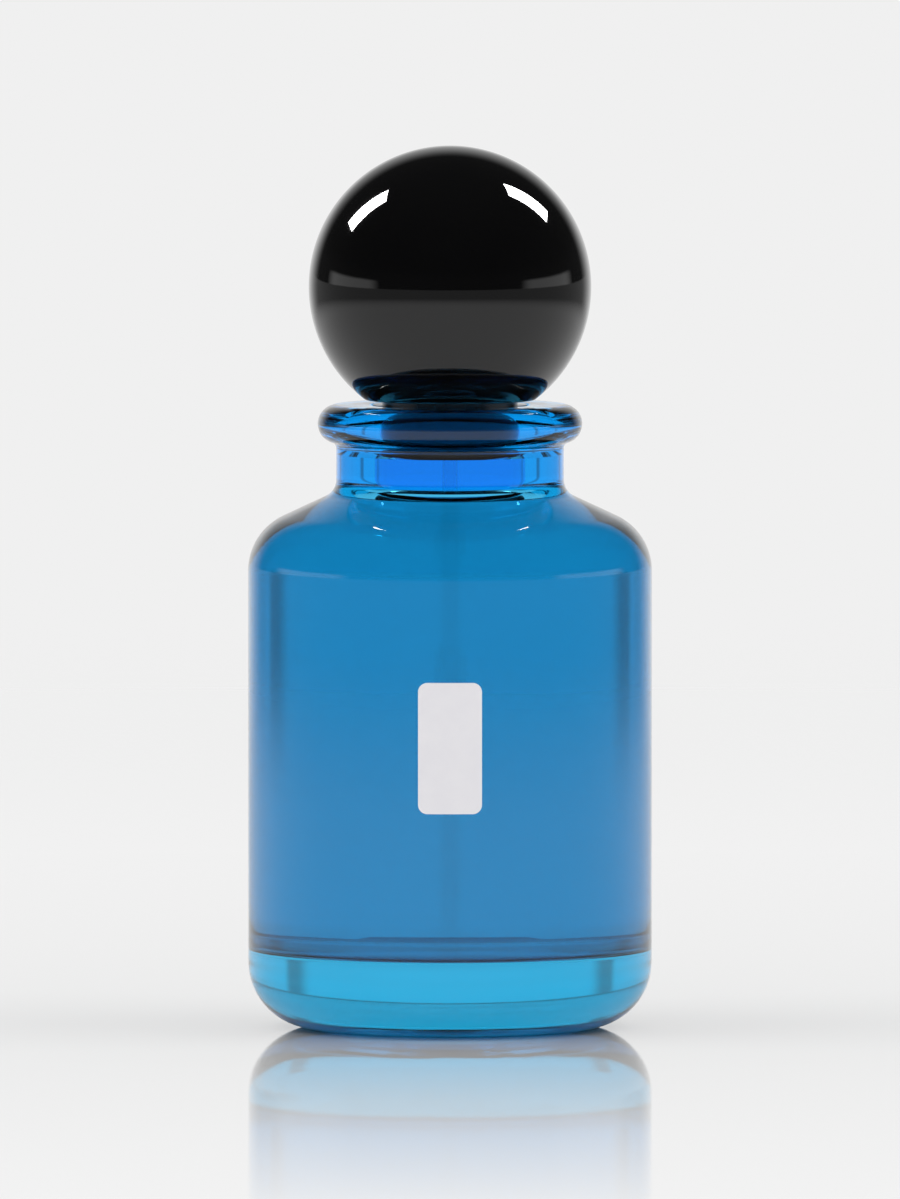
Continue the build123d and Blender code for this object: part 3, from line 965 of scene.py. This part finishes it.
@dataclass
class BallCap:
    """The glossy ball with its bored pocket."""

    finishes: Finishes
    rim_edge: float = 0.25 * MM
    rim_turn: float = 0.5
    pocket_radius: float = 10.3 * MM
    pocket_top_gap: float = 0.1 * MM

    def build(self) -> bpy.types.Object:
        """Build the ball, from the pocket's roof, round the rim and up to the crown.

        Returns:
            The ball.
        """
        radius = radius_of("cap_ball")
        low, top = span_of("cap_ball")
        centre = top - radius
        roof = span_of("cap_weight")[1] + self.pocket_top_gap
        base_radius = sqrt(radius**2 - (centre - low) ** 2)
        start = degrees(asin(base_radius / radius)) + self.rim_turn - 90
        sphere = arc((0, centre), radius, start, 90, 96)
        sphere[-1] = (0, top)
        rim = [
            (self.pocket_radius, low),
            (base_radius - self.rim_edge, low),
            (base_radius - self.rim_edge * 0.3, low + self.rim_edge * 0.12),
        ]
        inside = divided([(0, roof), (self.pocket_radius, roof), (self.pocket_radius, low)], 2 * MM)
        piece = turned(
            "cap_ball_gloss",
            [(inside, 0), (rim, 0), (sphere, 0)],
            [self.finishes.ball_lacquer],
            steps=256,
        )
        settle(piece, Body.CAP, Slot.BLACK_GLOSS, "cap_ball")
        return piece


# ---- Studio --------------------------------------------------------------------------------


@dataclass
class Studio:
    """Pale floor, soft lamps, a studio round them and the camera.

    Attributes:
        background: How bright the camera sees the surroundings, where 1 is white.
        ambient: How bright the surroundings light matte surfaces.
        unlit: How bright glossy surfaces see the unlit parts of the studio above the floor.
        floor_shade: The floor's own grey.
        flag_depth: How much darker glass shows a strip on each side of the backdrop.
    """

    background: float = 0.871
    ambient: float = 0.62
    unlit: float = 0.04
    floor_shade: float = 0.9
    flag_depth: float = 0.5
    lens: float = 1000.0
    sensor: float = 36.0
    view_height: float = 155.87 * MM
    aim_height: float = 55.7 * MM
    elevation: float = 3.5
    floor_radius: float = 0.9

    def camera(self) -> None:
        """Place the camera in front, a little above level, with a long lens."""
        data = bpy.data.cameras.new("studio_camera")
        data.sensor_fit = "VERTICAL"
        data.sensor_height = self.sensor
        data.sensor_width = self.sensor
        data.lens = self.lens
        distance = self.view_height * self.lens / self.sensor
        tilt = radians(self.elevation)
        camera = bpy.data.objects.new("studio_camera", data)
        camera.location = (0, -distance * cos(tilt), self.aim_height + distance * sin(tilt))
        camera.rotation_euler = (pi / 2 - tilt, 0, 0)
        bpy.context.scene.collection.objects.link(camera)
        bpy.context.scene.camera = camera

    def lamp(
        self, name: str, place: Colour, size: Point, power: float, shines: bool, mirrored: bool
    ) -> bpy.types.Object:
        """Add a rectangular lamp that faces the bottle.

        Args:
            name: The lamp's name.
            place: Where it stands.
            size: Its width and height.
            power: Its power in watts.
            shines: It lights matte surfaces.
            mirrored: It shows in glossy surfaces.

        Returns:
            The lamp.
        """
        data = bpy.data.lights.new(name, "AREA")
        data.shape = "RECTANGLE"
        data.size, data.size_y = size
        data.energy = power
        lamp = bpy.data.objects.new(name, data)
        lamp.location = place
        aim = Vector((0, 0, self.aim_height)) - Vector(place)
        lamp.rotation_euler = aim.to_track_quat("-Z", "Y").to_euler()
        lamp.visible_diffuse = shines
        lamp.visible_glossy = mirrored
        lamp.visible_transmission = False
        lamp.visible_camera = False
        bpy.context.scene.collection.objects.link(lamp)
        return lamp

    def lamps(self, highlighted: bpy.types.Object) -> None:
        """Add two soft lamps that light and two softboxes that only show as highlights.

        Args:
            highlighted: The piece that the softboxes show on.
        """
        self.lamp("fill_left", (-1.8, -0.3, 2.5), (2.0, 2.0), 25.0, True, False)
        self.lamp("fill_right", (1.8, -0.3, 2.5), (2.0, 2.0), 25.0, True, False)
        boxes = [
            self.lamp("softbox_left", (-0.7, 0.32, 0.74), (0.2, 0.44), 24.0, False, True),
            self.lamp("softbox_right", (0.63, 0.38, 0.78), (0.2, 0.44), 24.0, False, True),
        ]
        receivers = bpy.data.collections.new("softbox_receivers")
        receivers.objects.link(highlighted)
        for box in boxes:
            box.light_linking.receiver_collection = receivers

    def mirrored_level(
        self,
        bench: Bench,
        behind: bpy.types.NodeSocket,
        aside: bpy.types.NodeSocket,
        up: bpy.types.NodeSocket,
    ) -> bpy.types.NodeSocket:
        """Work out how bright glossy surfaces see the studio in each direction.

        Args:
            bench: The bench of the world's nodes.
            behind: How far a ray heads to the backdrop.
            aside: How far it heads to either side.
            up: How far it heads up.

        Returns:
            The brightness: pale behind and low at the sides, dim below, dark elsewhere.
        """
        above = bench.spread(up, (-0.006, 0), (0.006, 1))
        dip = bench.spread(behind, (0.975, 0), (0.995, 0.17))
        sky = bench.math("SUBTRACT", bench.spread(behind, (0.72, self.unlit), (0.96, 1.0)), dip)
        sky = bench.math("MULTIPLY", sky, bench.spread(up, (0.10, 1.0), (0.30, 0.65)))
        beside = bench.math(
            "MULTIPLY", bench.spread(aside, (0.85, 0), (0.95, 0.88)), bench.spread(up, (0.08, 1), (0.12, 0))
        )
        sky = bench.math("MAXIMUM", sky, beside)
        table = bench.math("SUBTRACT", bench.spread(behind, (0.72, 0.28), (0.97, 1.0)), dip)
        over = bench.math("MULTIPLY", sky, above)
        under = bench.math("MULTIPLY", table, bench.math("SUBTRACT", 1.0, above))
        return bench.math("ADD", over, under)

    def refracted_level(
        self,
        bench: Bench,
        behind: bpy.types.NodeSocket,
        aside: bpy.types.NodeSocket,
        up: bpy.types.NodeSocket,
    ) -> bpy.types.NodeSocket:
        """Work out how bright glass shows the studio in each direction.

        Args:
            bench: The bench of the world's nodes.
            behind: How far a ray heads to the backdrop.
            aside: How far it heads to either side.
            up: How far it heads up.

        Returns:
            The brightness: pale, with a darker strip on each side of the backdrop.
        """
        flagged = bench.math(
            "MULTIPLY", bench.spread(aside, (0.53, 0), (0.62, 1)), bench.spread(aside, (0.65, 1), (0.70, 0))
        )
        flagged = bench.math("MULTIPLY", flagged, bench.spread(behind, (0.2, 0), (0.4, 1)))
        pale = bench.spread(up, (0.0, 0.93), (0.04, 1.0))
        return bench.math("SUBTRACT", pale, bench.math("MULTIPLY", flagged, self.flag_depth))

    def surroundings(self) -> None:
        """Build the studio round the object, which differs for camera, glossy and refracted rays."""
        world = bpy.data.worlds.new("studio")
        bpy.context.scene.world = world
        world.use_nodes = True
        bench = Bench(world.node_tree)
        backdrop = world.node_tree.nodes["Background"]
        backdrop.inputs["Color"].default_value = (1, 1, 1, 1)
        way = bench.node("ShaderNodeSeparateXYZ")
        bench.link(bench.node("ShaderNodeTexCoord").outputs["Generated"], way.inputs[0])
        behind, up = way.outputs["Y"], way.outputs["Z"]
        aside = bench.math("ABSOLUTE", way.outputs["X"])
        mirrored = self.mirrored_level(bench, behind, aside, up)
        through = self.refracted_level(bench, behind, aside, up)
        ray = bench.node("ShaderNodeLightPath")
        level: bpy.types.NodeSocket | float = self.ambient
        for flag, value in (
            ("Is Glossy Ray", mirrored),
            ("Is Transmission Ray", through),
            ("Is Camera Ray", self.background),
        ):
            level = bench.either(ray.outputs[flag], level, value)
        bench.link(level, backdrop.inputs["Strength"])

    def floor_finish(self) -> bpy.types.Material:
        """Build the pale floor's material, which mirrors at grazing angles and fades away."""
        bench = SurfaceBench("studio_floor")
        grey = (self.floor_shade, self.floor_shade, self.floor_shade, 1.0)
        bench.set(Base_Color=grey, Roughness=0.9, Specular_IOR_Level=0.0)
        ray = bench.node("ShaderNodeLightPath")
        length = bench.node("ShaderNodeVectorMath", operation="LENGTH")
        bench.link(bench.node("ShaderNodeNewGeometry").outputs["Position"], length.inputs[0])
        distance = length.outputs["Value"]
        mirror = bench.node("ShaderNodeBsdfGlossy")
        mirror.inputs["Roughness"].default_value = 0.03
        mirror.inputs["Color"].default_value = (1, 1, 1, 1)
        fresnel = bench.node("ShaderNodeFresnel")
        fresnel.inputs["IOR"].default_value = 1.5
        near = bench.spread(distance, (0.03, 1.12), (0.335, 0.0), smooth=False)
        grazing = bench.spread(fresnel.outputs[0], (0.32, 0.0), (0.71, 0.71), smooth=False)
        shine = bench.math("MULTIPLY", grazing, near)
        shine = bench.math("MULTIPLY", shine, ray.outputs["Is Camera Ray"])
        glossed = bench.node("ShaderNodeMixShader")
        bench.link(shine, glossed.inputs[0])
        bench.link(bench.shader.outputs[0], glossed.inputs[1])
        bench.link(mirror.outputs[0], glossed.inputs[2])
        fade = bench.node("ShaderNodeMixShader")
        clear = bench.node("ShaderNodeBsdfTransparent")
        gone = bench.spread(distance, (self.floor_radius * 0.42, 0), (self.floor_radius * 0.95, 1))
        bench.link(gone, fade.inputs[0])
        bench.link(glossed.outputs[0], fade.inputs[1])
        bench.link(clear.outputs[0], fade.inputs[2])
        bench.link(fade.outputs[0], bench.output.inputs["Surface"])
        return bench.material

    def floor(self) -> None:
        """Lay the round floor under the bottle."""
        rings = divided([(0, 0), (self.floor_radius, 0)], 0.05)
        vertices = [(0.0, 0.0, 0.0)]
        steps = 96
        faces: list[tuple[int, ...]] = []
        for ring, (reach, _) in enumerate(rings[1:]):
            for i in range(steps):
                turn = 2 * pi * i / steps
                vertices.append((reach * cos(turn), reach * sin(turn), 0.0))
                j = (i + 1) % steps
                here, there = 1 + ring * steps, 1 + (ring - 1) * steps
                if ring == 0:
                    faces.append((0, here + i, here + j))
                else:
                    faces.append((there + i, here + i, here + j, there + j))
        mesh = bpy.data.meshes.new("studio_floor")
        mesh.from_pydata(vertices, [], faces)
        mesh.materials.append(self.floor_finish())
        floor = bpy.data.objects.new("studio_floor", mesh)
        floor.location.z = -0.02 * MM
        bpy.context.scene.collection.objects.link(floor)

    def build(self, highlighted: bpy.types.Object) -> None:
        """Build the whole studio round the piece that the softboxes show on."""
        self.camera()
        self.lamps(highlighted)
        self.surroundings()
        self.floor()


def main() -> None:
    """Load the frame, then build the bottle, the pump, the cap and the studio."""
    logging.basicConfig(level=logging.INFO, format="%(name)s: %(message)s")
    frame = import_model()
    bpy.context.scene.view_settings.view_transform = "Standard"
    finishes = Finishes()
    GlassBottle(finishes).build()
    SprayPump(finishes).build(frame["nodes"])
    ball = BallCap(finishes).build()
    Studio().build(ball)


if __name__ == "__main__":
    main()
